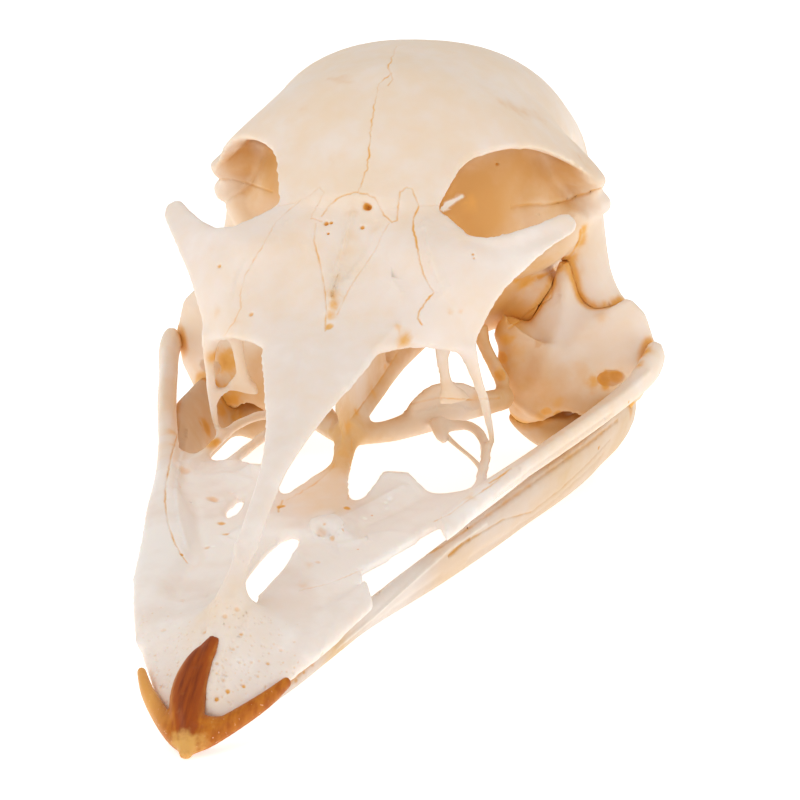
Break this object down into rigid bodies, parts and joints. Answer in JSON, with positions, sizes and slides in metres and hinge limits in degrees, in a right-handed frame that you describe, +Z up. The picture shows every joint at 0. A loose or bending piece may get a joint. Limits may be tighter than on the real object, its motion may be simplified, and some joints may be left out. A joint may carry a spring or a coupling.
{
  "type": "emu skull",
  "caption": "Dried emu skull resting on its own lower jaw, with the loose quadrate bones and a remnant of the brown horn at the tip of the bill.",
  "frame": {"origin": "on the table under the middle of the skull's length and width", "axes": "the beak points along -Y, the skull's left side is +X, +Z is up"},
  "size_m": [0.0771, 0.1581, 0.0626],
  "materials": {
    "skull_bone": "satin",
    "quadrate_bone": "satin",
    "jaw_bone": "satin",
    "horn": "satin"
  },
  "bodies": {
    "root": {"skull": "skull_bone", "left_quadrate": "quadrate_bone", "right_quadrate": "quadrate_bone", "lower_jaw": "jaw_bone", "beak_sheath": "horn"}
  },
  "joints": []
}
